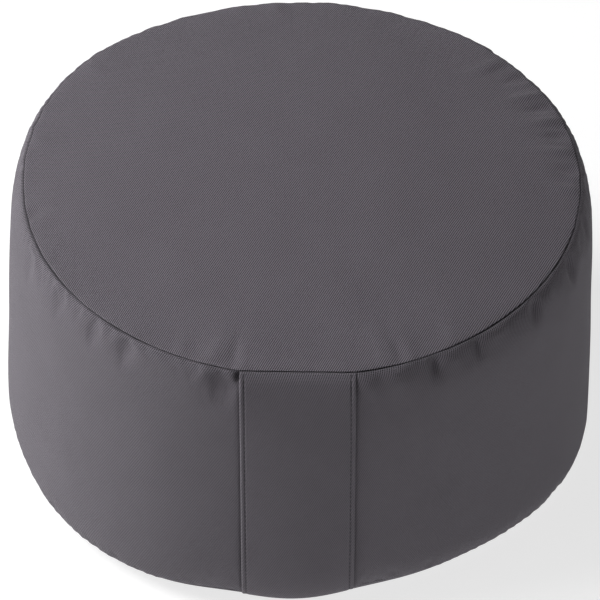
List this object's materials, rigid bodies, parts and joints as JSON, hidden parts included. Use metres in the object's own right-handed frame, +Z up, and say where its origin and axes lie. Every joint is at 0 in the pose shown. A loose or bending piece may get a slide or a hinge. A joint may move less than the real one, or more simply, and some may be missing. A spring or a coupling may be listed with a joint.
{
  "type": "yoga cushion",
  "caption": "Round drum-shaped floor cushion, filled firm, with crowned top, puckered seams and a flat stitched carrying strap down the front of its wall.",
  "frame": {"origin": "middle of the underside, on the floor that the cushion stands on", "axes": "+Z up through the crown, -Y out of the wall through the carrying strap, +X to the right of someone who faces the strap"},
  "size_m": [0.3225, 0.3206, 0.1851],
  "materials": {
    "cotton_twill": "matte dark grey cotton twill"
  },
  "bodies": {
    "root": {"cushion": "cotton_twill", "carry_strap": "cotton_twill"}
  },
  "joints": []
}
